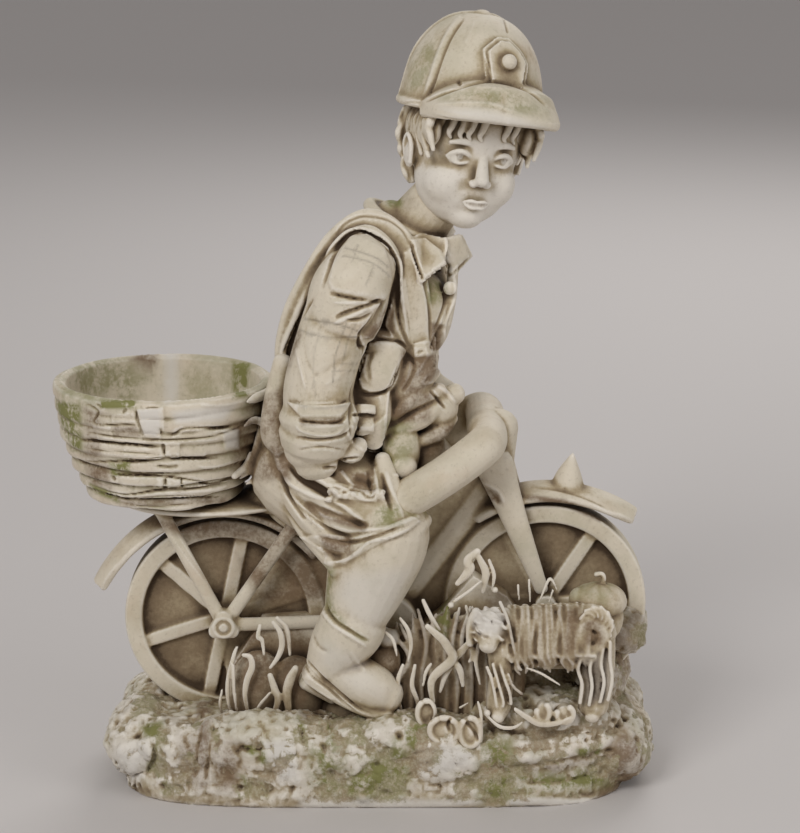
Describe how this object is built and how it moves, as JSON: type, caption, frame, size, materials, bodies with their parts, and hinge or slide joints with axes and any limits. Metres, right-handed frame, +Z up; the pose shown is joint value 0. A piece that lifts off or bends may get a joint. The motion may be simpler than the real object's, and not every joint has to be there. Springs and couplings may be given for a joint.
{
  "type": "garden statue",
  "caption": "Cast garden statue of a child in a peaked cap sitting on a bicycle with a woven basket behind, on a rocky planted base with a small dog.",
  "frame": {"origin": "centre of the object's footprint, on the flat underside of the base", "axes": "+Z up, +X towards the front wheel, -Y towards the side that the face looks to"},
  "size_m": [0.3837, 0.1718, 0.4955],
  "materials": {
    "cast_stone": "matt cast resin with a stone look, cream with brown antiquing and green weathering"
  },
  "bodies": {
    "root": {"statue": "cast_stone"}
  },
  "joints": []
}
